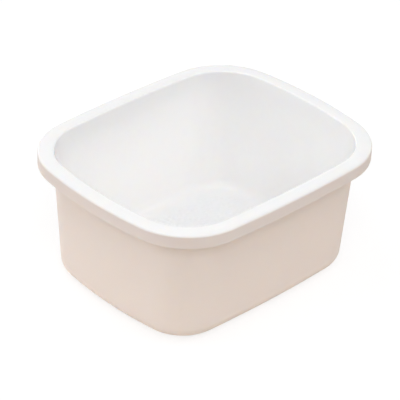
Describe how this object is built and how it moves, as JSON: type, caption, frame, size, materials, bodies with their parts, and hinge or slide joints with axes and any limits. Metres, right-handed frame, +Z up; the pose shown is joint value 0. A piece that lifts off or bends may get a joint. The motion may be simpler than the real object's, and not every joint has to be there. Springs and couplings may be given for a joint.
{
  "type": "foot basin",
  "caption": "Deep open tub with round corners and leaning walls, a wide flat rim turned down into a skirt, and small rubber feet under its base, for soaking feet.",
  "frame": {"origin": "under the centre of the basin, on the surface that its feet stand on", "axes": "+X along the basin's length, +Y across it, +Z up through the mouth"},
  "size_m": [0.4, 0.3314, 0.182],
  "materials": {
    "white_plastic": "satin moulded polypropylene, warm white",
    "grey_rubber": "matt moulded rubber, pale grey"
  },
  "bodies": {
    "root": {"basin_shell": "white_plastic", "foot_front_left": "grey_rubber", "foot_front_right": "grey_rubber", "foot_back_left": "grey_rubber", "foot_back_right": "grey_rubber"}
  },
  "joints": []
}
